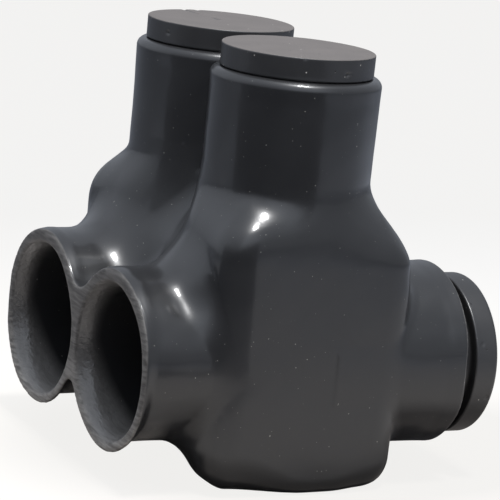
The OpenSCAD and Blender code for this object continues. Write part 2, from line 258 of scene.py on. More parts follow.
def make_plastisol():
    """Glossy dipped PVC, with the dull paler colour of its cut mouths."""
    material, tree, output, place = start_material("dipped_pvc_plastisol")
    peel = add(tree, "TexNoise", {"Vector": place, "Scale": 1 / PEEL_SIZE,
                                  "Detail": 2.0}).outputs["Fac"]
    haze = add(tree, "TexNoise", {"Vector": place, "Scale": 1 / HAZE_SIZE,
                                  "Detail": 2.0}).outputs["Fac"]
    grit = add(tree, "TexNoise", {"Vector": place, "Scale": 1 / DUST_SIZE,
                                  "Detail": 1.0}).outputs["Fac"]
    dust = add(tree, "MapRange", {"Value": grit, "From Min": 0.77, "From Max": 0.81}).outputs[0]
    leaning = add(tree, "Mapping", {"Vector": place, "Rotation": (0.3, 0.5, 0.2),
                                    "Scale": (1, 1, 0.12)}).outputs[0]
    scratch = specks(tree, leaning, 1.9, 0.05, 0.1)
    marks = add(tree, "Math", {0: dust, 1: scratch}, operation="MAXIMUM").outputs[0]

    height = add(tree, "SeparateXYZ", {"Vector": place}).outputs["Z"]
    # The cut mask and cut colour also carry painted sunlight low inside the mouths.
    face, cut_and_sunlit = where_cut_and_sunlit(tree, height)
    knife = knife_marks(tree, place)
    cut_tone_and_sunlight = cut_colour_and_sunlight(tree, height, face, knife)
    tone = add(tree, "Mix", {"Factor": haze, "A": linear("1a1a1b"), "B": linear("1f1f20")},
               data_type="RGBA").outputs["Result"]
    faced = add(tree, "Mix", {"Factor": cut_and_sunlit, "A": tone, "B": cut_tone_and_sunlight},
                data_type="RGBA").outputs["Result"]
    colour = add(tree, "Mix", {"Factor": marks, "A": faced, "B": linear("7a7873")},
                 data_type="RGBA").outputs["Result"]

    gloss = add(tree, "MapRange", {"Value": haze, "From Min": 0.25, "From Max": 0.75,
                                   "To Min": 0.30, "To Max": 0.38}).outputs[0]
    dull = add(tree, "Mix", {"Factor": face, "A": 0.34, "B": 0.62}, data_type="FLOAT").outputs[0]
    worn = add(tree, "Mix", {"Factor": cut_and_sunlit, "A": gloss, "B": dull}, data_type="FLOAT").outputs[0]
    rough = add(tree, "Mix", {"Factor": marks, "A": worn, "B": 0.7}, data_type="FLOAT").outputs[0]
    wet = add(tree, "MapRange", {"Value": worn, "From Min": 0.5, "From Max": 0.36,
                                 "To Max": 0.45}).outputs[0]

    fine = add(tree, "Bump", {"Height": peel, "Distance": 0.006 * MM, "Strength": 1.0})
    cut_ribs = add(tree, "Math", {0: knife, 1: cut_and_sunlit}, operation="MULTIPLY").outputs[0]
    bumps = add(tree, "Bump", {"Height": cut_ribs, "Distance": 0.16 * MM, "Strength": 1.0,
                               "Normal": fine.outputs[0]})
    shader = add(tree, "BsdfPrincipled", {"Base Color": colour, "Roughness": rough, "IOR": PVC_IOR,
                                          "Specular IOR Level": 0.26, "Coat Weight": wet,
                                          "Coat Roughness": 0.13, "Normal": bumps.outputs[0],
                                          "Coat Normal": bumps.outputs[0]})
    tree.links.new(shader.outputs[0], output.inputs["Surface"])
    return material


plastisol = make_plastisol()
straight_on = ((PVC_IOR - 1) / (PVC_IOR + 1)) ** 2
print("material:", plastisol.name)
print("plain PVC mirrors", round(100 * straight_on, 1), "percent of the light from straight ahead")

# %% [markdown]
# ## Rubber and metal
#
# The rubber of the caps and port plugs has no shine of its own but takes a
# soft one from the mould on its sides. Its flat faces are ground, and hold a
# little pale dust. Two rubbers could be made, one for the sides and one for the
# flat faces, but a hard line would then run round each edge. So each point of a
# cap or plug carries a number, ground, that is 1 on a flat face and 0 elsewhere,
# and Blender blends it in between. Small pits are left by air bubbles in the
# mould. The mould's grain is about 0.1 mm, and is drawn four times as coarse to
# show.
#
# The block is extruded aluminium plated with tin, and the screws are turned
# from plain aluminium. Both are a soft grey metal, with drawing lines 0.2 mm
# apart along the block and turning marks 0.17 mm apart round the screws. To the
# eye these are dull streaks across the light. Each metal could be written out
# in full, but only the direction of the streaks and the tone differ, so one
# function makes both.

# %% Material of the caps and port plugs
RUBBER_IOR = 1.52
PATCH_SIZE, GRAIN_SIZE = 5.0, 0.45


def make_rubber():
    """Moulded synthetic rubber, satin where the mould was, and dusty where it is ground flat."""
    material, tree, output, place = start_material("moulded_rubber")
    patches = add(tree, "TexNoise", {"Vector": place, "Scale": 1 / PATCH_SIZE,
                                     "Detail": 4.0}).outputs["Fac"]
    grain = add(tree, "TexNoise", {"Vector": place, "Scale": 1 / GRAIN_SIZE,
                                   "Detail": 3.0}).outputs["Fac"]
    pit = specks(tree, place, 1.3, 0.2, 0.1)
    fleck = specks(tree, place, 1.6, 0.13, 0.35)

    level = add(tree, "Attribute", attribute_name="ground").outputs["Fac"]
    dusty = add(tree, "MapRange", {"Value": patches, "To Min": 0.75, "To Max": 1.1}).outputs[0]
    powder = add(tree, "Math", {0: level, 1: dusty}, operation="MULTIPLY").outputs[0]

    dark = add(tree, "Mix", {"Factor": patches, "A": linear("1b1b1c"), "B": linear("232222")},
               data_type="RGBA").outputs["Result"]
    topped = add(tree, "Mix", {"Factor": powder, "A": dark, "B": linear("534e4b")},
                 data_type="RGBA").outputs["Result"]
    colour = add(tree, "Mix", {"Factor": fleck, "A": topped, "B": linear("a8a49c")},
                 data_type="RGBA").outputs["Result"]
    side_rough = add(tree, "MapRange", {"Value": patches, "To Min": 0.3, "To Max": 0.42}).outputs[0]
    rough = add(tree, "Mix", {"Factor": level, "A": side_rough, "B": 0.7},
                data_type="FLOAT").outputs[0]
    grainy = add(tree, "Bump", {"Height": grain, "Distance": 0.012 * MM, "Strength": 1.0})
    pitted = add(tree, "Bump", {"Height": pit, "Distance": 0.12 * MM, "Strength": 1.0,
                                "Normal": grainy.outputs[0]}, invert=True)
    shader = add(tree, "BsdfPrincipled", {"Base Color": colour, "Roughness": rough,
                                          "IOR": RUBBER_IOR, "Normal": pitted.outputs[0]})
    tree.links.new(shader.outputs[0], output.inputs["Surface"])
    return material


rubber = make_rubber()
print("material:", rubber.name, "with pale dust on its ground faces")

# %% Materials of the screws and the block
CLOUD_SIZE = 6.0


def make_metal(name, tone_dark, tone_light, line_scale):
    """Aluminium with fine lines, which run along the directions in which line_scale is small."""
    material, tree, output, place = start_material(name)
    stretch = add(tree, "Mapping", {"Vector": place, "Scale": line_scale}).outputs[0]
    streaks = add(tree, "TexNoise", {"Vector": stretch, "Scale": 1.0, "Detail": 4.0}).outputs["Fac"]
    clouds = add(tree, "TexNoise", {"Vector": place, "Scale": 1 / CLOUD_SIZE,
                                    "Detail": 3.0}).outputs["Fac"]
    tone = add(tree, "Mix", {"Factor": clouds, "A": linear(tone_dark), "B": linear(tone_light)},
               data_type="RGBA").outputs["Result"]
    rough = add(tree, "MapRange", {"Value": streaks, "To Min": 0.25, "To Max": 0.5}).outputs[0]
    lines = add(tree, "Bump", {"Height": streaks, "Distance": 0.02 * MM, "Strength": 0.8})
    shader = add(tree, "BsdfPrincipled", {"Base Color": tone, "Metallic": 1.0, "Roughness": rough,
                                          "Normal": lines.outputs[0]})
    tree.links.new(shader.outputs[0], output.inputs["Surface"])
    return material


turned = make_metal("turned_aluminium", "9b9c9c", "c9c9c6", (0.3, 0.3, 6.0))
extruded = make_metal("tin_plated_aluminium", "8d8e8e", "bcbcb9", (0.12, 5.0, 5.0))
print("materials:", turned.name, "and", extruded.name)

# %% [markdown]
# ## The shape of the skin
#
# The block, towers and sleeves flow into one another in a way that is awkward
# to build from patches. It is easy to write as a distance field instead: a
# function that is negative inside the skin, zero on it and positive outside.
# Two small functions join fields. One keeps what two fields share, and rounds
# the outer edge. The other joins two fields, and fills the corner between them
# with a hollow of a given radius, as the liquid PVC does.

# %% Joining distance fields
def shared(a, b, radius):
    """The common part of two fields, with its outer edge rounded."""
    corner = np.hypot(np.maximum(radius + a, 0), np.maximum(radius + b, 0))
    return np.minimum(-radius, np.maximum(a, b)) + corner


def joined(a, b, radius):
    """Two fields joined, with a hollow of that radius between them."""
    corner = np.hypot(np.maximum(radius - a, 0), np.maximum(radius - b, 0))
    return np.maximum(radius, np.minimum(a, b)) - corner


def ease(t):
    """An S-curve from 0 to 1, flat at both ends."""
    t = np.clip(t, 0, 1)
    return t * t * (3 - 2 * t)


def mix(a, b, share):
    """A value between two others, which is the first at share 0 and the second at share 1."""
    return a + (b - a) * share


def soft_min(a, b, reach):
    """The smaller of two values, with a smooth turn where they are about equal."""
    near = np.maximum(reach - np.abs(a - b), 0) / reach
    return np.minimum(a, b) - near ** 2 * reach / 4


def twin_circles(u, v, radius, web):
    """Two circles half a pitch to each side of the middle, with a web between them."""
    near = np.hypot(u, v - HALF_PITCH) - radius
    far = np.hypot(u, v + HALF_PITCH) - radius
    return joined(near, far, web)


print("a hollow of 4 mm fills a square corner by", round(-float(joined(0.0, 0.0, 4.0)), 2), "mm")

# %% [markdown]
# ## Body and towers
#
# The body is a box round the block, made of two halves side by side, one for
# each wire. Where they meet, a shallow upright hollow runs down the open end.
# Each half narrows to its own round tower: at each height, its outline is a mix
# of a rounded rectangle and a circle. Three curves say how the mix changes with
# the height:
#
# * at the outer corners of the open end, a shelf that turns up sharply,
# * in the middle of that end, an even ramp, which carries the valley down,
# * at the plugged end, where the liquid ran thicker, a long soft S.
#
# The foot is rounded all round, and most in the middle of the open end, where
# the outline of the real one steps up under the sleeves.
#
# The same form could be cut and bevelled from a box and two cylinders, but then
# each of these three flows would be a seam to hide.

# %% Body and towers as fields
OPEN_X, PLUGGED_X = 16.9, 18.4
CORNER_ROUND, INNER_ROUND = 6.0, 12.0
PLUGGED_BASE_ROUND, SIDE_BASE_ROUND = 5.0, 3.0
OPEN_BASE_ROUND, OPEN_CORNER_ROUND = 13.0, 7.8
PLUGGED_SAG = 0.75
TOWER_WEB, OPEN_NECK_WEB, PLUGGED_NECK_WEB, VALLEY_WEB = 0.6, 4.4, 5.5, 6.0
TOWER_R, TOWER_TOP_R, LIP_ROUND = 13.75, 13.9, 1.45
SHELF_FOOT, SHELF_TOP, SHELF_POWER = 36.7, 46.6, 2.6
RAMP_FOOT, RAMP_TOP = 34.7, 46.2
SLOPE_FOOT, SLOPE_TOP = 37.2, 50.2


def shoulder_share(x, y, z):
    """How far the outline has changed from the body's to the towers', from 0 to 1."""
    shelf = np.maximum((z - SHELF_FOOT) / (SHELF_TOP - SHELF_FOOT), 0)
    shelf = soft_min(1, shelf ** SHELF_POWER, 0.6)
    ramp = (z - RAMP_FOOT) / (RAMP_TOP - RAMP_FOOT)
    ramp = soft_min(1, -soft_min(0, -ramp, 0.3), 0.7)
    slope = ease((z - SLOPE_FOOT) / (SLOPE_TOP - SLOPE_FOOT))
    open_end = mix(ramp, shelf, ease((np.abs(y) - 7) / 8))
    return np.clip(mix(open_end, slope, ease((x + 10) / 20)), 0, 1)


def box_outline(x, y, z):
    """The outline of the whole body, a little fuller at the plugged end, where it sagged."""
    sag = PLUGGED_SAG * ease((41 - z) / 10) * ease((z - 7) / 12)
    ends = np.maximum(x - PLUGGED_X - sag, -x - OPEN_X)
    return shared(ends, np.abs(y) - BODY_Y, CORNER_ROUND)


def half_outline(x, into, z, share):
    """The outline of one half. The second value is the way into that half from the middle."""
    half = shared(box_outline(x, into, z), -into, INNER_ROUND)
    return mix(half, np.hypot(x, into - HALF_PITCH) - TOWER_R, share)


def foot_round(x, y):
    """The radius that rounds the foot: from the plugged end, past the sides, to the open end."""
    sides = mix(PLUGGED_BASE_ROUND, SIDE_BASE_ROUND, ease((14 - x) / 8))
    open_end = mix(OPEN_BASE_ROUND, OPEN_CORNER_ROUND, ease((np.abs(y) - 13) / 8))
    return mix(sides, open_end, ease((2 - x) / 14))


def body_field(x, y, z):
    """The body up to the foot of the towers: two halves at the open end, one box at the other."""
    share = shoulder_share(x, y, z)
    near, far = (half_outline(x, side * np.abs(y), z, share) for side in (1, -1))
    neck = 1 - ease((z - WAIST_Z + 3.5) / 5)
    valley = TOWER_WEB + OPEN_NECK_WEB * neck + VALLEY_WEB * (1 - ease((z - 35) / 11))
    towers = twin_circles(x, y, TOWER_R, TOWER_WEB + PLUGGED_NECK_WEB * neck)
    whole = mix(box_outline(x, y, z), towers, share)
    outline = mix(joined(near, far, valley), whole, ease((x + 8) / 10))
    return shared(shared(outline, -z, foot_round(x, y)), z - WAIST_Z - 2.5, 1.0)


def tower_field(x, y, z):
    """Both tubes of the towers, slightly wider at the top, with a rounded lip."""
    radius = mix(TOWER_R, TOWER_TOP_R, np.clip((z - WAIST_Z) / (TOWER_TOP - WAIST_Z), 0, 1))
    tube = np.maximum(np.hypot(x, np.abs(y) - HALF_PITCH) - radius, BLOCK_TOP + 4 - z)
    return shared(tube, z - TOWER_TOP, LIP_ROUND)


print("field in the middle of the body:", round(float(body_field(0.0, 0.0, 25.0)), 1), "mm")

# %% [markdown]
# ## Sleeves and hollows
#
# Each pair of sleeves is two tubes that touch and share a web. They leave the
# body at an even width, and swell to a bead at the mouth, where the liquid PVC
# drained and set. The blend into the body is widest above the open sleeves, and
# every blend thins out at the sides, where sleeve and body run together.
# Cylinders with a bevel would make the tubes, but not a blend that changes on
# the way round.

# %% Sleeves and hollows as fields
OPEN_SLEEVES = dict(sign=-1, mouth=28.75, mouth_r=14.75, root_r=14.1, mouth_up=0.2, root_up=1.2,
                    bead=2.2, blend_top=6.6, blend_low=3.4)
PLUGGED_SLEEVES = dict(sign=1, mouth=29.6, mouth_r=15.3, root_r=15.2, mouth_up=0.4, root_up=0.4,
                       bead=2.5, blend_top=3.0, blend_low=3.0)
WEB_TOP, WEB_LOW = 6.2, 4.0
MOUTH_ROUND, MOUTH_FLARE, FLARE_DEPTH = 0.6, 1.5, 2.5
GRID_ROOM = 0.8


def uneven(y, z, form):
    """How far the knife left each mouth from a true plane."""
    return 0.12 * np.sin(0.31 * y + 0.9) * np.sin(0.27 * z + 0.4 * form["sign"])


def sleeve_field(x, y, z, form):
    """The pair of sleeves at one end, as solid tubes. Their bores are taken out later."""
    depth = form["mouth"] + uneven(y, z, form) - form["sign"] * x
    behind = ease(depth / form["bead"])
    up = z - PORT_Z - mix(form["mouth_up"], form["root_up"], behind)
    web = mix(WEB_LOW, WEB_TOP, ease(up / 8 + 0.5))
    tubes = twin_circles(up, y, mix(form["mouth_r"], form["root_r"], behind), web)
    return shared(np.maximum(tubes, depth - form["mouth"] + 5), -depth, MOUTH_ROUND)


def hollow_field(x, y, z):
    """The bores, and the block's space, a little small so that no wall is too thin for the grid."""
    along, side = np.abs(x), np.abs(y)
    off = side - HALF_PITCH
    mouth = np.where(x < 0, MOUTH_X, PLUGGED_MOUTH_X)
    radius = SLEEVE_R - MOUTH_FLARE * soft_min(0, (mouth - along) / FLARE_DEPTH - 1, 0.5)
    wire = np.maximum(np.hypot(off, z - PORT_Z) - radius, BLOCK_L / 2 - 1.5 - along)
    tower = np.maximum(np.hypot(x, off) - TOWER_BORE_R, BLOCK_TOP - 1.5 - z)
    block = np.maximum(np.maximum(along - BLOCK_L / 2, side - BLOCK_W / 2),
                       np.maximum(BLOCK_Z - z, z - BLOCK_TOP))
    upper = (along - BLOCK_L / 2 + z - BLOCK_TOP + BLOCK_TOP_BEVEL) * math.sqrt(0.5)
    return np.minimum(np.minimum(wire, tower), np.maximum(block, upper) + GRID_ROOM)


print("field on the axis of the front tower's bore:",
      round(float(hollow_field(0.0, -HALF_PITCH, TOWER_TOP)), 1), "mm")

# %% The whole skin as one field
# Where the liquid gathered or, with a height below zero, drained off: (x, y, z, reach, height).
SWELLS = (
    (-11.5, -26.5, 42.5, 3.0, 0.8),
    (-20.0, -23.4, 31.3, 2.0, -0.65),
)
SIDE_THINNING, SIDE_ROUND, BORE_ROUND, RIPPLE_ROOM = 0.85, 2.0, 0.3, 0.09


def swell(x, y, z):
    """How far the swells lift the skin at a point."""
    rise = 0 * x
    for px, py, pz, reach, height in SWELLS:
        far = (x - px) ** 2 + (y - py) ** 2 + (z - pz) ** 2
        rise = rise + height * np.exp(-far / (2 * reach ** 2))
    return rise


def ripple(x, y, z):
    """Waves a few hundredths of a millimetre high, as the liquid left them."""
    slow = np.sin(0.42 * x + 0.23 * z + 1.0) * np.sin(0.37 * y - 0.19 * z)
    slow = slow + np.sin(0.33 * z + 0.29 * y - 0.21 * x)
    quick = np.sin(0.95 * x - 0.61 * z + 2.0) * np.sin(0.83 * y + 0.52 * z + 0.7)
    return 0.035 * slow + 0.012 * quick


def skin_field(x, y, z):
    """Body, towers and sleeves joined, with the bores taken out."""
    field = np.minimum(body_field(x, y, z), tower_field(x, y, z))
    thin = 1 - SIDE_THINNING * ease((np.abs(y) - 22) / 8)
    low = ease((PORT_Z - z) / 16 + 0.5)
    for form in (OPEN_SLEEVES, PLUGGED_SLEEVES):
        blend = mix(form["blend_top"], form["blend_low"], low) * thin
        field = joined(field, sleeve_field(x, y, z, form), blend)
    field = shared(field - swell(x, y, z), np.abs(y) - BODY_Y, SIDE_ROUND)
    buried = ease((z - 1) / 3) * ease((TOWER_TOP - 1 - z) / 3) * ease((27.5 - np.abs(x)) / 2)
    field = field + (RIPPLE_ROOM + ripple(x, y, z)) * buried
    return shared(field, -hollow_field(x, y, z), BORE_ROUND)


print("field in the wall of the front tower:",
      round(float(skin_field(0.0, -HALF_PITCH - 12.4, 58.0)), 2), "mm")

# %% [markdown]
# ## From field to mesh
#
# The field is measured on a grid. Where its sign changes between two
# neighbours, the surface passes. A method called surface nets puts one point in
# every grid cell that the surface passes through, and joins the points of the
# four cells round each crossing by one face. Then each point is moved along the
# field's slope until it lies on the surface, which makes it smooth again. The
# slope is also the surface's normal, so the shading is as smooth as the shape.
# The grid lines stand closer together at the mouths and lips, which have small
# rounded edges.
#
# A remesh modifier over rough solids would give a closed skin too, but it would
# round every lip alike, and the hollows between the forms would need carving.

# %% Grid and surface nets
def grid_lines(stops):
    """Grid lines from (place, step) pairs, where each step holds until the next place."""
    lines = []
    for (start, step), (end, _) in zip(stops, stops[1:]):
        count = max(round((end - start) / step), 1)
        lines.extend(start + (end - start) * i / count for i in range(count))
    return np.array(lines + [stops[-1][0]])


def surface_nets(lines, field):
    """Points and four-sided faces of the surface where the field is zero."""
    cells = tuple(n - 1 for n in field.shape)
    total, count = np.zeros((math.prod(cells), 3)), np.zeros(math.prod(cells))
    crossings = []
    for axis in range(3):
        before = np.take(field, range(field.shape[axis] - 1), axis)
        after = np.take(field, range(1, field.shape[axis]), axis)
        crosses = (before < 0) != (after < 0)
        index = np.argwhere(crosses)
        a, b = before[crosses], after[crosses]
        point = np.stack([lines[k][index[:, k]] for k in range(3)], 1)
        step = lines[axis][index[:, axis] + 1] - lines[axis][index[:, axis]]
        point[:, axis] += a / (a - b) * step
        u, v = (axis + 1) % 3, (axis + 2) % 3
        corners = []
        for du, dv in ((1, 1), (0, 1), (0, 0), (1, 0)):
            cell = index.copy()
            cell[:, u] -= du
            cell[:, v] -= dv
            corners.append(np.ravel_multi_index(cell.T, cells))
            np.add.at(total, corners[-1], point)
            np.add.at(count, corners[-1], 1)
        faces = np.stack(corners, 1)
        faces[a >= 0] = faces[a >= 0][:, ::-1]
        crossings.append(faces)
    used = count > 0
    number = np.cumsum(used) - 1
    return total[used] / count[used, None], number[np.concatenate(crossings)]


def slope_of(points, reach=0.02):
    """How the skin's field rises at each point, as a vector."""
    parts = []
    for axis in np.eye(3) * reach:
        parts.append(skin_field(*(points + axis).T) - skin_field(*(points - axis).T))
    return np.stack(parts, 1) / (2 * reach)


print("grid lines from 0 to 2 mm:", [float(line) for line in grid_lines([(0, 0.5), (2, 0.5)])])

# %% The skin as a mesh
STEP, FINE = 0.68, 0.3
LONGEST_MOVE = 0.3
lines = [
    grid_lines([(-29.8, FINE), (-27.4, STEP), (28.2, FINE), (30.6, FINE)]),
    grid_lines([(-30.4, STEP), (30.4, STEP)]),
    grid_lines([(-0.9, STEP), (64.8, FINE), (67.5, FINE)]),
]
grid = np.meshgrid(*lines, indexing="ij")
skin_points, skin_faces = surface_nets(lines, skin_field(*grid))
for _ in range(3):
    slope = slope_of(skin_points)
    steep = np.maximum((slope ** 2).sum(1), 1e-4)
    move = -slope * (skin_field(*skin_points.T) / steep)[:, None]
    far = np.linalg.norm(move, axis=1, keepdims=True)
    skin_points = skin_points + move * np.minimum(1, LONGEST_MOVE / np.maximum(far, 1e-9))
skin_normals = slope_of(skin_points)
skin_normals /= np.maximum(np.linalg.norm(skin_normals, axis=1, keepdims=True), 1e-9)
cover = make_piece("cover_skin", skin_points, skin_faces, "connector", "housing",
                   plastisol, skin_normals)

# %% Numbers for the cut mouths
x, y, z = skin_points.T
depths = [form["mouth"] + uneven(y, z, form) - form["sign"] * x
          for form in (OPEN_SLEEVES, PLUGGED_SLEEVES)]
mark(cover, "depth", np.minimum(*depths))
mark(cover, "off_axis", np.hypot(np.abs(y) - HALF_PITCH, z - PORT_Z))
print("points on the cut faces:", int((np.minimum(*depths) < 0.15).sum()))

# %% [markdown]
# ## Small round parts
#
# The caps and the port plugs are round mouldings of soft rubber. A cylinder with
# a bevel would nearly do, but a profile of (radius, height) rows that is swept
# round an axis gives each edge its own radius. A perfect sweep looks like a
# computer part, so the radius and height of the outer rows waver a little, and
# a few nicks and pits are pressed in where knocks have left them.

# %% Sweeping a profile
def sweep(rows, segments, shape=None):
    """Points and faces of a profile swept round Z. It starts and ends on the axis."""
    angles = np.linspace(0, 2 * math.pi, segments, endpoint=False)
    radius, height = (np.array(column)[:, None] + 0 * angles for column in zip(*rows[1:-1]))
    if shape:
        radius, height = shape(radius, height, angles)
    ring = np.stack([radius * np.cos(angles), radius * np.sin(angles), height], 2).reshape(-1, 3)
    points = np.vstack([ring, [[0, 0, rows[0][1]], [0, 0, rows[-1][1]]]])
    here, after = np.arange(segments), (np.arange(segments) + 1) % segments
    faces = []
    for k in range(len(rows) - 3):
        a, b = k * segments, (k + 1) * segments
        faces.extend(zip(a + here, b + here, b + after, a + after))
    last = (len(rows) - 3) * segments
    faces.extend(zip(here, after, np.full(segments, len(points) - 2)))
    faces.extend(zip(last + after, last + here, np.full(segments, len(points) - 1)))
    return points, [[int(i) for i in face] for face in faces]


def between(start, end, count):
    """Points on a straight line between two profile points, without the first."""
    return [tuple(mix(a, b, (i + 1) / count) for a, b in zip(start, end)) for i in range(count)]


def rounded(centre, radius, start, end, count=5):
    """Profile points on an arc, with its angles in degrees."""
    angles = [math.radians(mix(start, end, i / count)) for i in range(count + 1)]
    return [(centre[0] + radius * math.cos(a), centre[1] + radius * math.sin(a)) for a in angles]


def waver(angles, seed, size):
    """A slow uneven change round a ring, made of a few waves."""
    rng = np.random.default_rng(seed)
    waves = [rng.uniform(0.4, 1) / n * np.sin(n * angles + rng.uniform(0, 6.28))
             for n in (2, 3, 5, 7, 11, 17)]
    return size * sum(waves)


def dent(radius, height, angles, places):
    """How deep each point lies in the pits, given as (angle, height, width, depth)."""
    deep = 0 * radius
    for angle, at, width, depth in places:
        turn = (angles - math.radians(angle) + math.pi) % (2 * math.pi) - math.pi
        far = np.hypot(turn * radius, height - at) / width
        deep += depth * np.exp(-far ** 2 * 2)
    return deep


drum = sweep([(0, 0), (1, 0), (1, 2), (0, 2)], 8)
print("a drum swept in 8 steps:", len(drum[0]), "points,", len(drum[1]), "faces")

# %% Access caps
CAP_R, CAP_T, CAP_PLUG_R, CAP_PLUG_L = 12.45, 3.9, 10.93, 9.0


def make_cap(side, seed, pits):
    """One access cap: a thick disc on the tower's lip, with a shank in its bore."""
    top, tip = TOWER_TOP + CAP_T, TOWER_TOP - CAP_PLUG_L
    rows = [(0, top - 0.05), *between((0, top - 0.05), (CAP_R - 0.3, top - 0.03), 14)]
    rows += rounded((CAP_R - 0.22, top - 0.25), 0.22, 90, 0)
    rows += between((CAP_R, top - 0.25), (CAP_R - 0.03, TOWER_TOP + 0.45), 16)
    rows += rounded((CAP_R - 0.38, TOWER_TOP + 0.42), 0.35, 0, -90)
    rows += between((CAP_R - 0.38, TOWER_TOP + 0.05), (CAP_PLUG_R, TOWER_TOP + 0.03), 2)
    rows += between((CAP_PLUG_R, TOWER_TOP + 0.03), (CAP_PLUG_R, tip + 1), 6)
    rows += [(CAP_PLUG_R - 1, tip), (4, tip), (0, tip)]

    def shape(radius, height, angles):
        outer = ease((height - TOWER_TOP) / 1.0) * ease((radius - 6) / 6)
        deep = dent(radius, height, angles, pits) * (height > TOWER_TOP)
        return (radius + outer * (waver(angles, seed, 0.035) - 0.03) - deep,
                height + outer * (waver(angles, seed + 1, 0.02) - 0.03) - deep * 0.3)

    points, faces = sweep(rows, 320, shape)
    ground = (points[:, 2] > top - 0.15) * 1.0
    points[:, 1] += SIDES[side] * HALF_PITCH
    cap = make_piece(f"rubber_cap_{side}", points, faces, f"cap_{side}",
                     f"access_cap_{side}", rubber)
    mark(cap, "ground", ground)


front_pits = [(-78.5, 68.2, 0.42, 0.4), (-75.5, 68.3, 0.25, 0.25), (-113, 70.4, 0.3, 0.1)]
rear_pits = [(-161, 68.8, 0.4, 0.4), (96, 70.5, 0.5, 0.35), (84, 70.5, 0.6, 0.25)]
make_cap("front", 3, front_pits)
make_cap("rear", 8, rear_pits)

# %% Port plugs
FLANGE_R, FLANGE_GAP, FLANGE_T, PORT_PLUG_R, PORT_PLUG_L = 13.5, 2.3, 4.4, 11.53, 9.0


def make_port_plug(side, seed, pits):
    """One port plug: a flange that stands a little off the sleeve, with a shank in its mouth."""
    outer, inner = PLUGGED_MOUTH_X + FLANGE_GAP + FLANGE_T, PLUGGED_MOUTH_X + FLANGE_GAP
    tip = PLUGGED_MOUTH_X - PORT_PLUG_L
    rows = [(0, outer - 0.06), *between((0, outer - 0.06), (FLANGE_R - 0.8, outer - 0.04), 14)]
    rows += rounded((FLANGE_R - 0.7, outer - 0.74), 0.7, 90, 0, 7)
    rows += between((FLANGE_R, outer - 0.74), (FLANGE_R, inner + 0.4), 14)
    rows += rounded((FLANGE_R - 0.35, inner + 0.37), 0.35, 0, -90)
    rows += between((FLANGE_R - 0.4, inner + 0.02), (PORT_PLUG_R, inner + 0.02), 3)
    rows += between((PORT_PLUG_R, inner + 0.02), (PORT_PLUG_R, tip + 1), 8)
    rows += [(PORT_PLUG_R - 1, tip), (4, tip), (0, tip)]

    def shape(radius, height, angles):
        rim = ease((height - inner) / 1.0) * ease((radius - 6) / 6)
        deep = dent(radius, height, angles, pits) * (height > inner)
        return (radius + rim * (waver(angles, seed, 0.03) - 0.02) - deep,
                height + rim * (waver(angles, seed + 1, 0.02) - 0.03))

    points, faces = sweep(rows, 320, shape)
    ground = (points[:, 2] > outer - 0.25) * 1.0
    x, y, z = points.T
    points = np.stack([z, y + SIDES[side] * HALF_PITCH, PORT_Z - x], 1)
    plug = make_piece(f"rubber_port_plug_{side}", points, faces, f"plug_{side}",
                      f"port_plug_{side}", rubber)
    mark(plug, "ground", ground)


make_port_plug("front", 5, [(-110, 33.2, 0.3, 0.25), (-70, 35.2, 0.35, 0.2)])
make_port_plug("rear", 12, [(70, 34.0, 0.3, 0.25)])

# %% [markdown]
# ## Set screws
#
# A set screw is a threaded rod with a hexagonal socket in its top. A bump in the
# material could hint at the thread, but it would vanish at the outline. So the
# screw is a sweep whose radius depends on the angle as well as the height, and
# its ridge climbs by one pitch each turn. It stays inside the hole of the CAD
# block, so screw and block never cut into each other.

# %% Set screws
SCREW_LOW, SCREW_L, SCREW_R, THREAD_PITCH, THREAD_DEPTH = 29.3, 17.0, 8.66, 1.6, 0.8
SOCKET_AF, SOCKET_DEPTH = 7.9, 8.0


def make_screw(side):
    """One set screw, swept from the bottom of its socket, over the rim and down the thread."""
    top = SCREW_LOW + SCREW_L
    socket_r, floor = SOCKET_AF / 2, top - SOCKET_DEPTH
    rows = [(0, floor - 1.2), (socket_r - 0.3, floor)]
    rows += between((socket_r, floor), (socket_r, top - 0.45), 8)
    rows += [(socket_r + 0.95, top), (SCREW_R - 1.0, top)]
    rows += between((SCREW_R - 0.9, top - 0.1), (SCREW_R, top - 0.9), 4)
    rows += between((SCREW_R, top - 0.9), (SCREW_R, SCREW_LOW + 1.4), 76)
    rows += between((SCREW_R, SCREW_LOW + 1.4), (SCREW_R - 1.3, SCREW_LOW), 6)
    rows += [(4, SCREW_LOW), (0, SCREW_LOW)]

    def shape(radius, height, angles):
        flat = (angles + math.pi / 6) % (math.pi / 3) - math.pi / 6
        inside = radius <= socket_r + 0.01
        radius = np.where(inside, radius / np.cos(flat), radius)
        phase = (height / THREAD_PITCH - angles / (2 * math.pi)) % 1
        groove = ease(1 - np.abs(phase * 2 - 1) * 1.15)
        ends = ease((top - 0.35 - height) / 0.9) * ease((height - SCREW_LOW) / 1.6)
        threaded = radius > SCREW_R - 1.25
        return np.where(threaded, radius - THREAD_DEPTH * groove * ends, radius), height

    points, faces = sweep(rows, 144, shape)
    faces = [face[::-1] for face in faces]
    points[:, 1] += SIDES[side] * HALF_PITCH
    return make_piece(f"set_screw_{side}_threaded", points, faces, f"screw_{side}",
                      f"set_screw_{side}", turned)


make_screw("front")
make_screw("rear")

# %% [markdown]
# ## The metal block
#
# The block's CAD shape is right as it is, so it stays and only gets a finish:
# extruded aluminium with a thin plating of tin. It could be made again with
# softer edges, but the skin hides all of it apart from what shows down a bore.

# %% Give the block its metal
block = bpy.data.objects["connector_block"]
for place in block.material_slots:
    place.material = extruded
print("block finished in", extruded.name)

# %% [markdown]
# ## Camera
#
# The camera stands where the photographer stood: 28 degrees to the left of the
# front, 12 degrees up and slightly tilted, with a long lens. A constraint could
# point it at the part, but the tilt is easier to give as three directions:
# across the picture, up it and back from it. Its place was worked out from the
# outline of the part in the photograph.

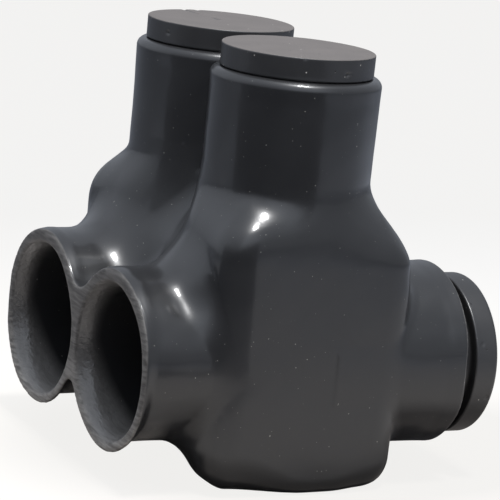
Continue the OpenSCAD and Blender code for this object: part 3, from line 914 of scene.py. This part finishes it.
# %% Camera
AZIMUTH, ELEVATION, TILT = (math.radians(a) for a in (-28.013, 11.864, 5.724))
DISTANCE, FOCAL_PIXELS, IMAGE_PIXELS = 444.12, 2651.1, 500
AIM_Z, AIM_RIGHT, AIM_UP = 30.3, 2.05, 3.776
back = Vector((math.sin(AZIMUTH) * math.cos(ELEVATION), -math.cos(AZIMUTH) * math.cos(ELEVATION),
               math.sin(ELEVATION)))
right = Vector((math.cos(AZIMUTH), math.sin(AZIMUTH), 0))
up = back.cross(right)
aim = Vector((0, 0, AIM_Z)) + right * AIM_RIGHT + up * AIM_UP
across = right * math.cos(TILT) + up * math.sin(TILT)
upward = up * math.cos(TILT) - right * math.sin(TILT)
camera_data = bpy.data.cameras.new("camera")
camera_data.sensor_width = 36
camera_data.lens = camera_data.sensor_width * FOCAL_PIXELS / IMAGE_PIXELS
camera_data.clip_start, camera_data.clip_end = 0.01, 20
camera = bpy.data.objects.new("camera", camera_data)
turn = Matrix((across, upward, back)).transposed().to_4x4()
camera.matrix_world = Matrix.Translation((aim + back * DISTANCE) * MM) @ turn
bpy.context.scene.collection.objects.link(camera)
bpy.context.scene.camera = camera
print("camera at", [round(c, 3) for c in camera.location])

# %% [markdown]
# ## Paper under the part
#
# The photograph shows the part in sunlight on pale paper, with the photographer
# close by. The glossy skin shows all of it: the paper as a soft grey sheen on
# the upright faces, the sky as a cooler one on the shoulders, the sun as small
# bright spots, and the photographer as a dark band on each round form.
#
# The paper is a flat face with a matte material. Its colour holds painted shade:
# it is darker further away and behind the part, and a painted shadow lies under
# the part itself, because that is what the skin has to show. The camera sees it
# almost white, with only the part's soft shadow. A white sheet alone would be
# simpler, but all the gloss would turn the same pale grey.

# %% Paper
PAPER_CLOSE, PAPER_MIDDLE, PAPER_DISTANT = 60.0, 230.0, 420.0
PAPER_HALF = 3000
SHADE_X, SHADE_LENGTH, SHADE_WIDTH = 17, 60, 44


def make_stage(name, points, faces, material):
    """Something that stands round the part and isn't a piece of it."""
    mesh = bpy.data.meshes.new(name)
    mesh.from_pydata([[c * MM for c in point] for point in points], [], faces)
    mesh.materials.append(material)
    piece = bpy.data.objects.new(name, mesh)
    bpy.context.scene.collection.objects.link(piece)
    return piece


def make_paper():
    """Pale paper with painted shade far off and behind, and a painted shadow under the part. The
    camera sees it almost evenly lit, so only a soft shadow shows.
    """
    material, tree, output, place = start_material("pale_paper_painted_shade")
    away = add(tree, "VectorMath", {0: place}, operation="LENGTH").outputs["Value"]
    # Painted shade: away from the part, and behind it, the paper is painted darker.
    middle = add(tree, "MapRange", {"Value": away, "From Min": PAPER_CLOSE,
                                    "From Max": PAPER_MIDDLE}).outputs[0]
    painted_far_shade = add(tree, "MapRange", {"Value": away, "From Min": PAPER_MIDDLE,
                                     "From Max": PAPER_DISTANT}).outputs[0]
    close = add(tree, "Mix", {"Factor": middle, "A": linear("c0bab4"), "B": linear("90949c")},
                data_type="RGBA").outputs["Result"]
    front = add(tree, "Mix", {"Factor": painted_far_shade, "A": close, "B": linear("63676f")},
                data_type="RGBA").outputs["Result"]
    depth = add(tree, "SeparateXYZ", {"Vector": place}).outputs["Y"]
    behind = add(tree, "MapRange", {"Value": depth, "From Min": 60.0, "From Max": 180.0}).outputs[0]
    lit = add(tree, "Mix", {"Factor": behind, "A": front, "B": linear("54575d")},
              data_type="RGBA").outputs["Result"]
    # Painted shadow: an oval under the part is painted darker.
    outline = add(tree, "Mapping", {"Vector": place, "Location": (-SHADE_X / SHADE_LENGTH, 0, 0),
                                    "Scale": (1 / SHADE_LENGTH, 1 / SHADE_WIDTH, 0)}).outputs[0]
    reach = add(tree, "VectorMath", {0: outline}, operation="LENGTH").outputs["Value"]
    painted_shadow_under_part = add(tree, "MapRange", {"Value": reach, "From Min": 1.1, "From Max": 0.75}).outputs[0]
    tone = add(tree, "Mix", {"Factor": painted_shadow_under_part, "A": lit, "B": linear("625d59")},
               data_type="RGBA").outputs["Result"]
    shader = add(tree, "BsdfPrincipled", {"Base Color": tone, "Roughness": 0.9})
    white = add(tree, "Emission", {"Color": linear("fbfaf8"), "Strength": 1.06})
    seen = add(tree, "LightPath").outputs["Is Camera Ray"]
    part = add(tree, "Math", {0: seen, 1: 0.84}, operation="MULTIPLY").outputs[0]
    both = add(tree, "MixShader", {0: part, 1: shader.outputs[0], 2: white.outputs[0]})
    tree.links.new(both.outputs[0], output.inputs["Surface"])
    return material


corners = [(-PAPER_HALF, -PAPER_HALF, 0), (PAPER_HALF, -PAPER_HALF, 0),
           (PAPER_HALF, PAPER_HALF, 0), (-PAPER_HALF, PAPER_HALF, 0)]
paper = make_stage("floor", corners, [(0, 1, 2, 3)], make_paper())
print("paper:", [round(side, 1) for side in paper.dimensions], "m")

# %% [markdown]
# ## Sky
#
# The world gives an even cool light with a few soft brighter places in it. They
# could be large lamps, but the gloss would show their square edges. Here each is
# a smooth function of the angle off its own direction. The camera sees plain
# white.

# %% Sky
# (direction, cosine where it begins, cosine where it is full, strength). The first is the widest.
SKY_PARTS = (
    ((-0.45, -0.4, 0.8), -0.6, 0.6, 0.55),
    ((-0.15, -0.87, 0.47), 0.78, 0.97, 1.0),
    ((-0.25, -0.2, 0.95), 0.7, 0.95, 0.6),
    ((-0.75, 0.5, 0.43), 0.78, 0.98, 0.4),
)
EVEN_SKY = 0.45


def beam(tree, direction, toward, edge, core, strength):
    """Sky light that grows from nothing to its full strength nearer to one direction."""
    near = add(tree, "VectorMath", {0: direction, 1: toward},
               operation="DOT_PRODUCT").outputs["Value"]
    return add(tree, "MapRange", {"Value": near, "From Min": edge, "From Max": core,
                                  "To Max": strength}).outputs[0]


def make_world():
    """The sky as the part sees it, and white for the camera."""
    world = bpy.data.worlds.new("sky")
    world.use_nodes = True
    tree = world.node_tree
    tree.nodes.clear()
    output = add(tree, "OutputWorld")
    seen = add(tree, "LightPath").outputs["Is Camera Ray"]
    direction = add(tree, "TexCoord").outputs["Generated"]
    bright = beam(tree, direction, *SKY_PARTS[0])
    for part in SKY_PARTS[1:]:
        glow = beam(tree, direction, *part)
        bright = add(tree, "Math", {0: bright, 1: glow}, operation="ADD").outputs[0]
    bright = add(tree, "Math", {0: bright, 1: EVEN_SKY}, operation="ADD").outputs[0]
    sky = add(tree, "Background", {"Color": linear("dfe6f2"), "Strength": bright})
    white = add(tree, "Background", {"Color": linear("fbfaf8"), "Strength": 1.0})
    both = add(tree, "MixShader", {0: seen, 1: sky.outputs[0], 2: white.outputs[0]})
    tree.links.new(both.outputs[0], output.inputs["Surface"])
    return world


bpy.context.scene.world = make_world()
print("sky:", len(SKY_PARTS), "soft parts over an even", EVEN_SKY)

# %% [markdown]
# ## Card and lamp
#
# A curved dark card plays the photographer. It stands on the floor round the
# front and left of the part, and a flat, darker strip of it before its foot is a
# painted shadow. Its near edge and its top fade out, and the camera doesn't see
# it. Darker paper could do the same, but it would dull the sheen on every side.
#
# One small lamp high above plays the sun. A sun light would do as well. A lamp
# is chosen because its size and distance are easy to picture, and they set how
# large the bright spots in the gloss are.

# %% Dark card
CARD_FROM, CARD_TO, CARD_STEPS = -98, 13.5, 48
CARD_NEAR, CARD_R, CARD_H = 85, 190, 115
CARD_FADE_IN, CARD_FADE_TOP = 35, 50


def make_card():
    """Dark card, standing, and flat on the floor as a painted shadow. Its near edge and its top
    fade out.
    """
    material, tree, output, place = start_material("dark_card_and_painted_shadow")
    height = add(tree, "SeparateXYZ", {"Vector": place}).outputs["Z"]
    flat = add(tree, "MapRange", {"Value": height, "From Min": 6.0, "From Max": 2.0}).outputs[0]
    away = add(tree, "VectorMath", {0: place}, operation="LENGTH").outputs["Value"]
    started = add(tree, "MapRange", {"Value": away, "From Min": CARD_NEAR,
                                     "From Max": CARD_NEAR + CARD_FADE_IN}).outputs[0]
    ended = add(tree, "MapRange", {"Value": height, "From Min": CARD_H,
                                   "From Max": CARD_H - CARD_FADE_TOP}).outputs[0]
    there = add(tree, "Math", {0: started, 1: ended}, operation="MULTIPLY").outputs[0]
    # The flat strip is darker: a painted shadow of the photographer.
    tone = add(tree, "Mix", {"Factor": flat, "A": linear("7e8084"), "B": linear("4a4d53")},
               data_type="RGBA").outputs["Result"]
    shader = add(tree, "BsdfPrincipled", {"Base Color": tone, "Roughness": 0.95})
    clear = add(tree, "BsdfTransparent")
    both = add(tree, "MixShader", {0: there, 1: clear.outputs[0], 2: shader.outputs[0]})
    tree.links.new(both.outputs[0], output.inputs["Surface"])
    return material


card_turns = [math.radians(mix(CARD_FROM, CARD_TO, i / CARD_STEPS)) for i in range(CARD_STEPS + 1)]
card_profile = ((CARD_NEAR, 1), (CARD_R, 1), (CARD_R, CARD_H))
card_points = [(r * math.sin(a), -r * math.cos(a), h) for a in card_turns for r, h in card_profile]
card_faces = [(3 * i + k, 3 * i + 3 + k, 3 * i + 4 + k, 3 * i + 1 + k)
              for i in range(CARD_STEPS) for k in (0, 1)]
card = make_stage("dark_card_and_painted_shadow", card_points, card_faces, make_card())
card.visible_camera = False
print("dark card:", len(card_faces), "faces, from", CARD_FROM, "to", CARD_TO, "degrees")

# %% Lamp
def make_lamp(name, azimuth, elevation, distance, size, watts, colour):
    """A square lamp that shines on the part from an angle round it and an angle up, in degrees."""
    a, e = math.radians(azimuth), math.radians(elevation)
    lamp_data = bpy.data.lights.new(name, "AREA")
    lamp_data.size, lamp_data.energy, lamp_data.color = size, watts, linear(colour)[:3]
    lamp = bpy.data.objects.new(name, lamp_data)
    away = Vector((math.sin(a) * math.cos(e), -math.cos(a) * math.cos(e), math.sin(e)))
    lamp.location = Vector((0, 0, 35 * MM)) + away * distance
    lamp.rotation_euler = away.to_track_quat("Z", "Y").to_euler()
    bpy.context.scene.collection.objects.link(lamp)
    return lamp


sun = make_lamp("sun_lamp", azimuth=0, elevation=76, distance=1.5, size=0.2, watts=32,
                colour="ffffff")
bpy.context.scene.view_settings.view_transform = "Standard"
print("lamp at", [round(c, 2) for c in sun.location])
